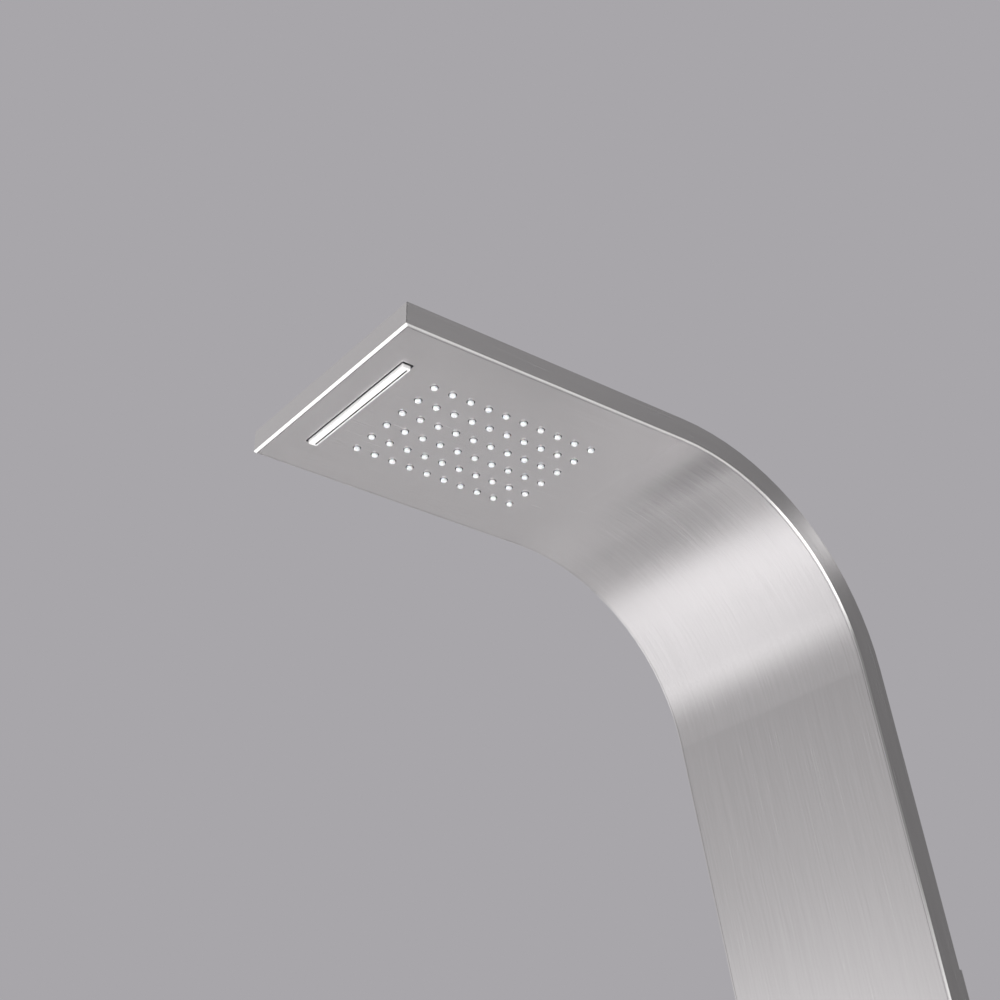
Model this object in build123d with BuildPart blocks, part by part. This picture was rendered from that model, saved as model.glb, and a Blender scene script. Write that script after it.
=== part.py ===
"""Rainfall shower column: a thin stainless casing bent over into a rain and waterfall head.

X runs across the column, the user stands on the -Y side, the wall is the plane Y = 0 and Z is up.
The origin is on the wall, midway between the two upper wall screws.
"""

import os
from math import cos, radians, sin

from build123d import *

# ---- driving dimensions, mm -------------------------------------------------------------------
WIDTH = 200.0  # casing, side to side
THICK = 18.0  # casing, face to back
SHEET = 1.5  # face and back sheets
FLANGE = 2.2  # hemmed side and front flanges
SIDE_BEVEL, CORNER_BEVEL = 1.0, 0.5  # side edges round the face and upright front corners
FRONT_RISE, FRONT_RUN = 1.4, 1.8  # bevel along the front edge, up its end and along the face
PANEL_GAP = 0.25  # shadow gap round the face panel
FLAT = 240.0  # flat head, front edge to the bend
BEND_R = 170.4  # bend radius of the face
BEND_DEG = 78.0  # turn from the column into the head
BEND_Z = 120.0  # height where the bend starts
BOTTOM_Z = -1046.0  # lower end of the column
WALL_GAP = 38.0  # wall to the back of the casing

NOZZLE_COLUMNS, NOZZLE_ROWS = 6, 10
NOZZLE_PITCH_X, NOZZLE_PITCH_Y = 19.75, 15.34
NOZZLE_FRONT = 56.9  # front edge to the first row
NOZZLE_R, NOZZLE_HOLE_R, NOZZLE_BORE_R = 2.3, 3.0, 0.45
NOZZLE_DROP = 1.8  # how far a nozzle stands below the face

SLOT_MIDDLE = 26.45  # front edge to the middle of the waterfall slot
SLOT_LENGTH, SLOT_WIDTH, SLOT_CORNER = 124.8, 7.8, 0.6
SLOT_COLLAR = 0.8  # wall of the gasket that lines the slot
BLADE_LENGTH, BLADE_WIDTH, BLADE_CORNER = 122.4, 6.8, 0.8
BLADE_DROP = 2.8  # how far the blade stands below the face
BLADE_SLIT, BLADE_SLIT_WIDTH, BLADE_WEB = 1.55, 1.1, 2.2  # slit behind the blade's middle, and its ends

HOSE_X = 79.0  # the two head hoses run beside the jets
HOSE_R, HOSE_BORE_R = 5.5, 3.5
HOSE_DEPTH = 8.4  # hose centre behind the face
RISER_DEPTH = 30.0  # riser and mixed water tube, centre behind the face
BARB_R = 3.4

JET_HEIGHTS = (-160.0, -300.0, -440.0)
JET_BARREL_R, JET_BARREL_LENGTH, JET_DEPTH = 11.0, 86.0, 2.0
JET_PIN_R, PIN_CLEARANCE = 3.0, 0.06

HOLDER_X, HOLDER_Z = 58.0, -560.0
DIVERTER_Z = -640.0
MIXER_Z = -780.0
OUTLET_X, OUTLET_Z = 58.0, -925.0
INLET_X = 40.0
PIPE_THREAD_R = 10.48  # G1/2 parallel thread, outside
SPINDLE_R = 4.0

BRACKET_SPACING, BRACKET_WIDTH = 110.0, 130.0
LOWER_BRACKET_Z = -1008.0
SCREW_HOLE_R = 2.75
# Name, height, hook width and hanger width of each bracket. The supply hoses pass the lower one.
BRACKETS = (("upper", 0.0, 84.0, 100.0), ("lower", LOWER_BRACKET_Z, 50.0, 54.0))

# ---- places worked out from them ----------------------------------------------------------------
FACE_Y = -(WALL_GAP + THICK)
BACK_Y = -WALL_GAP
ARC_Y = FACE_Y - BEND_R
TURN = radians(BEND_DEG)
TIP = Vector(
    0,
    ARC_Y + BEND_R * cos(TURN) - FLAT * sin(TURN),
    BEND_Z + BEND_R * sin(TURN) + FLAT * cos(TURN),
)
# Head frame: X across, Y from the front edge towards the bend, Z up through the head's thickness.
HEAD = Plane(origin=TIP, x_dir=(1, 0, 0), z_dir=(0, cos(TURN), sin(TURN)))
CAVITY = THICK - SHEET
NOZZLE_BACK = NOZZLE_FRONT + (NOZZLE_ROWS - 1) * NOZZLE_PITCH_Y
NOZZLE_MIDDLE = (NOZZLE_FRONT + NOZZLE_BACK) / 2

WINDOW_WIDTH, WINDOW_TOP, WINDOW_BOTTOM = 124.0, -110.0, -965.0
WINDOW_Z, WINDOW_HEIGHT = (WINDOW_TOP + WINDOW_BOTTOM) / 2, WINDOW_TOP - WINDOW_BOTTOM
CHANNEL_WIDTH, CHANNEL_SHEET, CHANNEL_LIP = 150.0, 1.2, 12.0
CHANNEL_TOP, CHANNEL_BOTTOM = -95.0, -975.0
CHANNEL_Z, CHANNEL_HEIGHT = (CHANNEL_TOP + CHANNEL_BOTTOM) / 2, CHANNEL_TOP - CHANNEL_BOTTOM
CHANNEL_REAR = THICK + WALL_GAP - 3.0
WALL_DEPTH = THICK + WALL_GAP
RIVET_R, RIVET_EDGE = 1.6, 8.0

os.makedirs("parts", exist_ok=True)


def finish(part, name):
    """Labels a finished piece and writes its STEP file."""
    part.label = name
    export_step(part, f"parts/{name}.step")


def on_head(y, depth):
    """Point of the casing's section, y behind the front edge and depth above the face."""
    point = HEAD.from_local_coords(Vector(0, y, depth))
    return point.Y, point.Z


def on_arc(depth, turn):
    """Point of the bend at a depth behind the face, turned up from the column."""
    radius = BEND_R + depth
    return ARC_Y + radius * cos(turn), BEND_Z + radius * sin(turn)


def band(near, far, front, bottom):
    """Section of the casing between two depths, from the head's front to the column's bottom."""
    with BuildSketch(Plane.YZ) as section:
        with BuildLine():
            Line(on_head(front, near), on_head(FLAT, near))
            ThreePointArc(on_head(FLAT, near), on_arc(near, TURN / 2), on_arc(near, 0))
            Line(on_arc(near, 0), (FACE_Y + near, bottom))
            Line((FACE_Y + near, bottom), (FACE_Y + far, bottom))
            Line((FACE_Y + far, bottom), on_arc(far, 0))
            ThreePointArc(on_arc(far, 0), on_arc(far, TURN / 2), on_head(FLAT, far))
            Line(on_head(FLAT, far), on_head(front, far))
            Line(on_head(front, far), on_head(front, near))
        make_face()
    return section.sketch


def facing(depth, x=0.0, z=0.0):
    """Plane that faces the user, at a depth behind the column's face."""
    return Plane(origin=(x, FACE_Y + depth, z), x_dir=(1, 0, 0), z_dir=(0, -1, 0))


def turned(x, z, steps, mode=Mode.ADD):
    """Adds cylinders about a front-to-back axis. Each step is front depth, rear depth, radius."""
    for front, rear, radius in steps:
        with BuildSketch(facing(rear, x, z)) as disc:
            Circle(radius)
        extrude(disc.sketch, amount=rear - front, mode=mode)


def upright(x, depth, z, length, radius, mode=Mode.ADD):
    """Adds a vertical cylinder upwards from z."""
    with BuildSketch(Plane.XY.offset(z)) as disc:
        with Locations((x, FACE_Y + depth)):
            Circle(radius)
    extrude(disc.sketch, amount=length, mode=mode)


def crossways(x, depth, z, length, radius, mode=Mode.ADD):
    """Adds a cylinder along +X from x."""
    with BuildSketch(Plane.YZ.offset(x)) as disc:
        with Locations((FACE_Y + depth, z)):
            Circle(radius)
    extrude(disc.sketch, amount=length, mode=mode)


def block(x, z, width, height, front, rear, corner=0.0, mode=Mode.ADD):
    """Adds a block seen from the front as width by height, between two depths."""
    with BuildSketch(facing(rear, x, z)) as outline:
        if corner:
            RectangleRounded(width, height, corner)
        else:
            Rectangle(width, height)
    extrude(outline.sketch, amount=rear - front, mode=mode)


def head_block(x, y, width, length, low, high, corner=0.0, mode=Mode.ADD):
    """Adds a block in the head frame, centred on x and y, between two heights above the face."""
    with BuildSketch(HEAD.offset(low)) as outline:
        with Locations((x, y)):
            if corner:
                RectangleRounded(width, length, corner)
            else:
                Rectangle(width, length)
    extrude(outline.sketch, amount=high - low, mode=mode)


def tube(points, radii, outer, bore):
    """Adds a tube along straight runs joined by tangent arcs."""
    with BuildLine(mode=Mode.PRIVATE) as route:
        if radii:
            FilletPolyline(*points, radius=radii)
        else:
            Line(*points)
    path = route.wire()
    start = Plane(origin=path @ 0, z_dir=path % 0)
    with BuildSketch(start) as ring:
        Circle(outer)
        Circle(bore, mode=Mode.SUBTRACT)
    sweep(ring.sketch, path=path)


def channel_rivet_places():
    """Rivets through the rear channel's two lips, as X and Z."""
    across = CHANNEL_WIDTH / 2 + CHANNEL_LIP / 2
    return [(side * across, CHANNEL_Z + step * 200.0) for side in (-1, 1) for step in (-2, -1, 0, 1, 2)]


def hanger_rivet_places(base, width):
    """Rivets through the hanger of one bracket, as X and Z."""
    across = width / 2 - RIVET_EDGE
    return [(side * across, base + rise) for side in (-1, 1) for rise in (-12.0, 14.0)]


def rivet(x, z, sheet):
    """Adds a rivet that joins a sheet of the given thickness to the casing's back."""
    turned(x, z, [(CAVITY - 0.8, CAVITY, 2.8), (CAVITY, THICK + sheet, RIVET_R - 0.05)])
    turned(x, z, [(THICK + sheet, THICK + sheet + 1.0, 3.2)])


def nozzle_grid():
    """Places of the rain nozzles on the face, in the head frame."""
    return GridLocations(NOZZLE_PITCH_X, NOZZLE_PITCH_Y, NOZZLE_COLUMNS, NOZZLE_ROWS)


# ---- casing -------------------------------------------------------------------------------------
with BuildPart() as outer_shell:
    extrude(band(0, THICK, 0, BOTTOM_Z), amount=WIDTH / 2, both=True)
    corners = outer_shell.edges().filter_by(
        lambda edge: abs(HEAD.to_local_coords(edge.center()).Y) < 0.01
        and abs(abs(edge.center().X) - WIDTH / 2) < 0.01
    )
    chamfer(corners, CORNER_BEVEL)
    side_faces = outer_shell.faces().filter_by(Axis.X).sort_by(Axis.X)
    for side in (side_faces[0], side_faces[-1]):
        rim = [
            edge
            for edge in side.edges()
            if abs(edge.center().Y - FACE_Y) < 0.01
            or abs(HEAD.to_local_coords(edge.center()).Z) < 0.01
            or (edge.geom_type == GeomType.CIRCLE and abs(edge.radius - BEND_R) < 0.01)
        ]
        chamfer(rim, SIDE_BEVEL)
    extrude(
        band(-1, CAVITY, FLANGE, BOTTOM_Z - 1),
        amount=WIDTH / 2 - FLANGE,
        both=True,
        mode=Mode.SUBTRACT,
    )
    with BuildSketch(Plane.YZ) as front_bevel:
        with BuildLine():
            Polyline(
                on_head(0, FRONT_RISE),
                on_head(FRONT_RUN, 0),
                on_head(FRONT_RUN, -1),
                on_head(-1, -1),
                on_head(-1, FRONT_RISE),
                close=True,
            )
        make_face()
    extrude(front_bevel.sketch, amount=WIDTH, both=True, mode=Mode.SUBTRACT)
    block(0, WINDOW_Z, WINDOW_WIDTH, WINDOW_HEIGHT, CAVITY - 1, THICK + 1, 8, Mode.SUBTRACT)
    with BuildSketch(facing(THICK + 1)) as rivet_holes:
        with Locations(*channel_rivet_places()):
            Circle(RIVET_R)
        for _, base, _, hanger_width in BRACKETS:
            with Locations(*hanger_rivet_places(base, hanger_width)):
                Circle(RIVET_R)
    extrude(rivet_holes.sketch, amount=SHEET + 2, mode=Mode.SUBTRACT)
finish(outer_shell.part, "outer_shell")

PANEL_HALF = WIDTH / 2 - FLANGE - PANEL_GAP
COLLAR_SIZE = (SLOT_LENGTH + 2 * SLOT_COLLAR, SLOT_WIDTH + 2 * SLOT_COLLAR)
CONTROL_HOLE_R, POST_HOLE_R = 17.0, 5.3
JET_OPENING = (99.0, 24.6)

with BuildPart() as face_panel:
    extrude(band(0, SHEET, FLANGE + PANEL_GAP, BOTTOM_Z), amount=PANEL_HALF, both=True)
    with BuildSketch(HEAD.offset(-1)) as openings:
        with Locations((0, NOZZLE_MIDDLE)):
            with nozzle_grid():
                Circle(NOZZLE_HOLE_R)
        with Locations((0, SLOT_MIDDLE)):
            RectangleRounded(*COLLAR_SIZE, SLOT_CORNER + SLOT_COLLAR)
    extrude(openings.sketch, amount=SHEET + 2, mode=Mode.SUBTRACT)
    for height in JET_HEIGHTS:
        block(0, height, *JET_OPENING, -1, SHEET + 1, 2, Mode.SUBTRACT)
    for control_z in (DIVERTER_Z, MIXER_Z):
        turned(0, control_z, [(-1, SHEET + 1, CONTROL_HOLE_R)], Mode.SUBTRACT)
    turned(HOLDER_X, HOLDER_Z, [(-1, SHEET + 1, POST_HOLE_R)], Mode.SUBTRACT)
    turned(OUTLET_X, OUTLET_Z, [(-1, SHEET + 1, POST_HOLE_R)], Mode.SUBTRACT)
finish(face_panel.part, "face_panel")

CAP_HEIGHT = 14.0
with BuildPart() as bottom_cap:
    inner_width = WIDTH - 2 * FLANGE - 0.4
    block(0, BOTTOM_Z + CAP_HEIGHT / 2, inner_width, CAP_HEIGHT, SHEET + 0.1, CAVITY - 0.1)
    pocket_z = BOTTOM_Z + CAP_HEIGHT / 2 + SHEET
    block(0, pocket_z, inner_width - 4, CAP_HEIGHT, SHEET + 1.6, CAVITY - 1.6, 0, Mode.SUBTRACT)
    with BuildSketch(Plane.XY.offset(BOTTOM_Z - 1)):
        with Locations((0, FACE_Y + THICK / 2)):
            with GridLocations(60, 1, 3, 1):
                SlotOverall(24, 4)
    extrude(amount=SHEET + 2, mode=Mode.SUBTRACT)
finish(bottom_cap.part, "bottom_cap")

RAIL_INNER, RAIL_WIDTH = 87.5, 9.1
for side, name in ((-1, "side_rail_left"), (1, "side_rail_right")):
    # C-shaped spacer bonded to both sheets, open towards the middle of the casing.
    with BuildPart() as side_rail:
        rail_bottom = BOTTOM_Z + CAP_HEIGHT + 2
        outside = band(SHEET + 0.1, CAVITY - 0.1, 6, rail_bottom)
        extrude(outside.moved(Location((side * RAIL_INNER, 0, 0))), amount=side * RAIL_WIDTH)
        inside = band(SHEET + 1.6, CAVITY - 1.6, 5, rail_bottom - 1)
        extrude(
            inside.moved(Location((side * (RAIL_INNER - 1), 0, 0))),
            amount=side * (RAIL_WIDTH - 0.5),
            mode=Mode.SUBTRACT,
        )
    finish(side_rail.part, name)

with BuildPart() as rear_channel:
    # Two side walls and a top wall stand on lips that are riveted to the casing's back.
    block(0, CHANNEL_Z, CHANNEL_WIDTH, CHANNEL_HEIGHT, THICK, CHANNEL_REAR)
    with BuildSketch(facing(CHANNEL_REAR + 1, 0, CHANNEL_Z - CHANNEL_SHEET)):
        Rectangle(CHANNEL_WIDTH - 2 * CHANNEL_SHEET, CHANNEL_HEIGHT)
    extrude(amount=CHANNEL_REAR - THICK + 2, mode=Mode.SUBTRACT)
    lip_middle = CHANNEL_WIDTH / 2 + CHANNEL_LIP / 2 - CHANNEL_SHEET
    for side in (-1, 1):
        block(side * lip_middle, CHANNEL_Z, CHANNEL_LIP, CHANNEL_HEIGHT, THICK, THICK + CHANNEL_SHEET)
    with BuildSketch(facing(THICK + 4)):
        with Locations(*channel_rivet_places()):
            Circle(RIVET_R)
    extrude(amount=5, mode=Mode.SUBTRACT)
finish(rear_channel.part, "rear_channel")

with BuildPart() as channel_rivets:
    for place in channel_rivet_places():
        rivet(*place, CHANNEL_SHEET)
finish(channel_rivets.part, "channel_rivets")

# ---- rain -----------------------------------------------------------------------------------------
MAT_TOP = SHEET + 1.5
MAT_HALF, MAT_MARGIN = 58.5, 9.0
GRID_LENGTH = NOZZLE_BACK - NOZZLE_FRONT
STUD_X, STUD_PITCH, STUD_R = 62.5, 42.0, 1.45

with BuildPart() as nozzle_mat:
    head_block(0, NOZZLE_MIDDLE, 2 * MAT_HALF, GRID_LENGTH + 2 * MAT_MARGIN, SHEET, MAT_TOP, 4)
    with BuildSketch(HEAD.offset(-NOZZLE_DROP)):
        with Locations((0, NOZZLE_MIDDLE)):
            with nozzle_grid():
                Circle(NOZZLE_R)
    extrude(amount=NOZZLE_DROP + SHEET)
    tips = nozzle_mat.edges().filter_by(
        lambda edge: abs(HEAD.to_local_coords(edge.center()).Z + NOZZLE_DROP) < 0.01
    )
    fillet(tips, 0.8)
    with BuildSketch(HEAD.offset(-NOZZLE_DROP - 1)):
        with Locations((0, NOZZLE_MIDDLE)):
            with nozzle_grid():
                Circle(NOZZLE_BORE_R)
    extrude(amount=NOZZLE_DROP + MAT_TOP + 2, mode=Mode.SUBTRACT)
finish(nozzle_mat.part, "nozzle_mat")


def stud_places():
    """Places of the studs along both sides of the rain chamber, in the head frame."""
    return GridLocations(2 * STUD_X, STUD_PITCH, 2, 4)


CHAMBER_TOP, CHAMBER_WALL, CHAMBER_FLANGE = 14.0, 1.5, 1.5
CHAMBER_HALF, CHAMBER_MARGIN = 55.5, 7.5
RAIN_INLET_Y = NOZZLE_MIDDLE + STUD_PITCH  # midway between two studs

with BuildPart() as rain_chamber:
    length = GRID_LENGTH + 2 * CHAMBER_MARGIN
    flange_top = MAT_TOP + CHAMBER_FLANGE
    head_block(0, NOZZLE_MIDDLE, 2 * CHAMBER_HALF, length, MAT_TOP, CHAMBER_TOP, 5)
    head_block(0, NOZZLE_MIDDLE, 2 * STUD_X + 8, length + 8, MAT_TOP, flange_top, 6)
    inner = (2 * (CHAMBER_HALF - CHAMBER_WALL), length - 2 * CHAMBER_WALL)
    head_block(
        0, NOZZLE_MIDDLE, *inner, MAT_TOP - 1, CHAMBER_TOP - CHAMBER_WALL, 4, Mode.SUBTRACT
    )
    with BuildSketch(HEAD.offset(MAT_TOP - 1)):
        with Locations((0, NOZZLE_MIDDLE)):
            with stud_places():
                Circle(STUD_R + 0.25)
    extrude(amount=CHAMBER_FLANGE + 2, mode=Mode.SUBTRACT)
    inlet = Plane(
        origin=HEAD.from_local_coords(Vector(-CHAMBER_HALF - 1, RAIN_INLET_Y, HOSE_DEPTH)),
        z_dir=(1, 0, 0),
    )
    with BuildSketch(inlet):
        Circle(BARB_R)
    extrude(amount=CHAMBER_WALL + 2, mode=Mode.SUBTRACT)
finish(rain_chamber.part, "rain_chamber")

with BuildPart() as chamber_studs:
    with BuildSketch(HEAD.offset(SHEET)):
        with Locations((0, NOZZLE_MIDDLE)):
            with stud_places():
                Circle(STUD_R)
    extrude(amount=8)
finish(chamber_studs.part, "chamber_studs")

NUT_THICK = 2.4
with BuildPart() as chamber_nuts:
    with BuildSketch(HEAD.offset(MAT_TOP + CHAMBER_FLANGE)):
        with Locations((0, NOZZLE_MIDDLE)):
            with stud_places():
                RegularPolygon(3.1, 6)
                Circle(STUD_R + 0.05, mode=Mode.SUBTRACT)
    extrude(amount=NUT_THICK)
finish(chamber_nuts.part, "chamber_nuts")


def in_head(x, y, depth=HOSE_DEPTH):
    """Point of the head frame in the part's own frame."""
    return HEAD.from_local_coords(Vector(x, y, depth))


BARB_BORE_R = 2.4
with BuildPart() as rain_elbow:
    corner = in_head(-HOSE_X, RAIN_INLET_Y)
    elbow_end = in_head(-HOSE_X, RAIN_INLET_Y + 28)
    tube([in_head(-CHAMBER_HALF + 0.5, RAIN_INLET_Y), corner, elbow_end], [8.0], BARB_R, BARB_BORE_R)
finish(rain_elbow.part, "rain_elbow")

# ---- waterfall ------------------------------------------------------------------------------------
with BuildPart() as waterfall_trim:
    head_block(0, SLOT_MIDDLE, *COLLAR_SIZE, 0, SHEET, SLOT_CORNER + SLOT_COLLAR)
    head_block(0, SLOT_MIDDLE, SLOT_LENGTH, SLOT_WIDTH, -1, SHEET + 1, SLOT_CORNER, Mode.SUBTRACT)
finish(waterfall_trim.part, "waterfall_trim")

FALL_FLOOR = SHEET + 1.2
with BuildPart() as waterfall_blade:
    # Bar with a slit for the sheet of water, hung from two feet on the chamber's floor.
    blade_top = FALL_FLOOR + 2
    head_block(0, SLOT_MIDDLE, BLADE_LENGTH, BLADE_WIDTH, -BLADE_DROP, blade_top, BLADE_CORNER)
    lower = waterfall_blade.edges().filter_by(
        lambda edge: HEAD.to_local_coords(edge.center()).Z < -BLADE_DROP + 0.01
    )
    fillet(lower, 0.3)
    head_block(0, SLOT_MIDDLE, SLOT_LENGTH + 9, BLADE_WIDTH, FALL_FLOOR, blade_top)
    slit_length = BLADE_LENGTH - 2 * BLADE_WEB
    slit_y = SLOT_MIDDLE + BLADE_SLIT
    head_block(
        0, slit_y, slit_length, BLADE_SLIT_WIDTH, -BLADE_DROP - 1, blade_top + 1, 0, Mode.SUBTRACT
    )
finish(waterfall_blade.part, "waterfall_blade")

FALL_HALF, FALL_FRONT, FALL_REAR, FALL_WALL = 86.0, 9.0, 41.0, 1.5
with BuildPart() as waterfall_chamber:
    fall_y, fall_length = (FALL_FRONT + FALL_REAR) / 2, FALL_REAR - FALL_FRONT
    head_block(0, fall_y, 2 * FALL_HALF, fall_length, SHEET, CHAMBER_TOP, 3)
    inner = (2 * (FALL_HALF - FALL_WALL), fall_length - 2 * FALL_WALL)
    head_block(0, fall_y, *inner, FALL_FLOOR, CHAMBER_TOP - FALL_WALL, 2, Mode.SUBTRACT)
    floor_cut = (SHEET - 1, FALL_FLOOR + 1)
    head_block(0, SLOT_MIDDLE, SLOT_LENGTH, SLOT_WIDTH, *floor_cut, SLOT_CORNER, Mode.SUBTRACT)
    barb_root = Plane(origin=in_head(HOSE_X, FALL_REAR - FALL_WALL), z_dir=HEAD.y_dir)
    with BuildSketch(barb_root) as barb:
        Circle(BARB_R)
    extrude(barb.sketch, amount=FALL_WALL + 20)
    with BuildSketch(barb_root.offset(-1)) as barb_bore:
        Circle(BARB_BORE_R)
    extrude(barb_bore.sketch, amount=FALL_WALL + 22, mode=Mode.SUBTRACT)
finish(waterfall_chamber.part, "waterfall_chamber")

# ---- hoses and pipes ------------------------------------------------------------------------------
HOSE_Y = FACE_Y + HOSE_DEPTH
BEND_CORNER_Z = BEND_Z + (BEND_R + HOSE_DEPTH) * (1 - cos(TURN)) / sin(TURN)
PORT_X = 13.0
SHIFT_TOP = -470.0  # height where the head hoses start to move in towards the diverter
SHIFT_BOTTOM = SHIFT_TOP - (HOSE_X - PORT_X)
HOSE_LOW = DIVERTER_Z + 28.0
SHIFT_R = 40.0
RAIN_HOSE_START, FALL_HOSE_START = RAIN_INLET_Y + 14.0, FALL_REAR + 6.0


def head_hose(side, start):
    """Adds the hose that runs from the head round the bend and down to the diverter."""
    route = [
        in_head(side * HOSE_X, start),
        (side * HOSE_X, HOSE_Y, BEND_CORNER_Z),
        (side * HOSE_X, HOSE_Y, SHIFT_TOP),
        (side * PORT_X, HOSE_Y, SHIFT_BOTTOM),
        (side * PORT_X, HOSE_Y, HOSE_LOW),
    ]
    tube(route, [BEND_R + HOSE_DEPTH, SHIFT_R, SHIFT_R], HOSE_R, HOSE_BORE_R)


with BuildPart() as rain_hose:
    head_hose(-1, RAIN_HOSE_START)
finish(rain_hose.part, "rain_hose")

with BuildPart() as waterfall_hose:
    head_hose(1, FALL_HOSE_START)
finish(waterfall_hose.part, "waterfall_hose")

HAND_R = 30.0
OUTLET_HOSE_TOP = OUTLET_Z + 22.0
with BuildPart() as hand_shower_hose:
    tube(
        [
            (PORT_X + 14, HOSE_Y, DIVERTER_Z),
            (HOSE_X, HOSE_Y, DIVERTER_Z),
            (HOSE_X, HOSE_Y, OUTLET_Z + 75),
            (OUTLET_X, HOSE_Y, OUTLET_Z + 75 - (HOSE_X - OUTLET_X)),
            (OUTLET_X, HOSE_Y, OUTLET_HOSE_TOP),
        ],
        [HAND_R, HAND_R, HAND_R],
        HOSE_R,
        HOSE_BORE_R,
    )
finish(hand_shower_hose.part, "hand_shower_hose")

FERRULE_R, FERRULE_LENGTH = 6.2, 9.0
with BuildPart() as hose_ferrules:
    down = (0, 0, -1)
    hose_ends = [
        (in_head(-HOSE_X, RAIN_HOSE_START + 1), HEAD.y_dir),
        (in_head(HOSE_X, FALL_HOSE_START + 1), HEAD.y_dir),
        ((-PORT_X, HOSE_Y, HOSE_LOW + 1 + FERRULE_LENGTH), down),
        ((PORT_X, HOSE_Y, HOSE_LOW + 1 + FERRULE_LENGTH), down),
        ((PORT_X + 15, HOSE_Y, DIVERTER_Z), (1, 0, 0)),
        ((OUTLET_X, HOSE_Y, OUTLET_HOSE_TOP + 1 + FERRULE_LENGTH), down),
    ]
    for place, along in hose_ends:
        with BuildSketch(Plane(origin=place, z_dir=along)):
            Circle(FERRULE_R)
            Circle(HOSE_R + 0.02, mode=Mode.SUBTRACT)
        extrude(amount=FERRULE_LENGTH)
finish(hose_ferrules.part, "hose_ferrules")

PIPE_R, PIPE_BORE_R, SOCKET_R, SOCKET_BORE_R = 6.0, 4.5, 8.5, 6.05
STUB_R, STUB_BORE_R = 3.9, 2.9
JET_SPIGOT_REAR = 22.0
with BuildPart() as jet_riser:
    riser_bottom, riser_top = DIVERTER_Z + 22.0, JET_HEIGHTS[0] + 12.0
    upright(0, RISER_DEPTH, riser_bottom, riser_top - riser_bottom, PIPE_R)
    for height in JET_HEIGHTS:
        turned(0, height, [(JET_SPIGOT_REAR - 5, RISER_DEPTH, STUB_R)])
    upright(0, RISER_DEPTH, riser_bottom - 1, riser_top - riser_bottom - 1, PIPE_BORE_R, Mode.SUBTRACT)
    for height in JET_HEIGHTS:
        turned(0, height, [(JET_SPIGOT_REAR - 6, RISER_DEPTH, STUB_BORE_R)], Mode.SUBTRACT)
finish(jet_riser.part, "jet_riser")

with BuildPart() as mixed_water_tube:
    pipe_bottom, pipe_top = MIXER_Z + 20.0, DIVERTER_Z - 24.0
    upright(0, RISER_DEPTH, pipe_bottom, pipe_top - pipe_bottom, PIPE_R)
    upright(0, RISER_DEPTH, pipe_bottom - 1, pipe_top - pipe_bottom + 2, PIPE_BORE_R, Mode.SUBTRACT)
finish(mixed_water_tube.part, "mixed_water_tube")

# ---- body jets ------------------------------------------------------------------------------------
JET_GAP = 0.35
BEZEL_SIZE, BEZEL_THICK = (110.0, 34.0), 3.0
HOUSING_SIZE = (106.0, 29.0)
JET_FACET = -8.0  # depth of the flat that carries the jet nozzles
JET_TIP_X = (-30.0, -15.0, 0.0, 15.0, 30.0)
JET_TIP_R = 2.2

for number, height in enumerate(JET_HEIGHTS, start=1):
    with BuildPart() as jet_housing:
        block(0, height, *HOUSING_SIZE, SHEET, CAVITY - 0.1, 2)
        turned(0, height, [(CAVITY - 0.1, JET_SPIGOT_REAR, 6.5)])
        cavity_half = JET_BARREL_LENGTH / 2 + 0.5
        crossways(-cavity_half, JET_DEPTH, height, 2 * cavity_half, JET_BARREL_R + JET_GAP, Mode.SUBTRACT)
        crossways(-49, JET_DEPTH, height, 98, JET_PIN_R + PIN_CLEARANCE, Mode.SUBTRACT)
        turned(0, height, [(JET_DEPTH, JET_SPIGOT_REAR + 1, STUB_R + 0.1)], Mode.SUBTRACT)
    finish(jet_housing.part, f"jet_housing_{number}")

    with BuildPart() as jet_bezel:
        block(0, height, *BEZEL_SIZE, -BEZEL_THICK, 0, 3)
        fillet(jet_bezel.faces().sort_by(Axis.Y)[0].edges(), 0.8)
        block(0, height, JET_OPENING[0] - 0.4, JET_OPENING[1] - 0.4, 0, SHEET, 2)
        opening_height = 2 * (JET_BARREL_R + JET_GAP)
        block(0, height, 2 * cavity_half, opening_height, -BEZEL_THICK - 1, SHEET + 1, 0, Mode.SUBTRACT)
        crossways(-49, JET_DEPTH, height, 98, JET_PIN_R + PIN_CLEARANCE, Mode.SUBTRACT)
    finish(jet_bezel.part, f"jet_bezel_{number}")

    with BuildPart() as jet_barrel:
        crossways(-JET_BARREL_LENGTH / 2, JET_DEPTH, height, JET_BARREL_LENGTH, JET_BARREL_R)
        block(0, height, JET_BARREL_LENGTH + 2, 30, -12, JET_FACET, 0, Mode.SUBTRACT)
        crossways(-48.5, JET_DEPTH, height, 97, JET_PIN_R)
        crossways(-38, JET_DEPTH, height, 76, 5, Mode.SUBTRACT)
        block(0, height, 60, 5, JET_DEPTH, 14, 0, Mode.SUBTRACT)
        for x in JET_TIP_X:
            turned(x, height, [(JET_FACET - 1, JET_DEPTH, JET_TIP_R)], Mode.SUBTRACT)
    finish(jet_barrel.part, f"jet_barrel_{number}")

    with BuildPart() as jet_nozzles:
        for x in JET_TIP_X:
            turned(x, height, [(JET_FACET - 1.2, JET_FACET + 4, JET_TIP_R)])
        front_rims = jet_nozzles.edges().filter_by(
            lambda edge: abs(edge.center().Y - (FACE_Y + JET_FACET - 1.2)) < 0.01
        )
        fillet(front_rims, 0.7)
        for x in JET_TIP_X:
            turned(x, height, [(JET_FACET - 2, JET_FACET + 5, 0.5)], Mode.SUBTRACT)
    finish(jet_nozzles.part, f"jet_nozzles_{number}")

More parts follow.
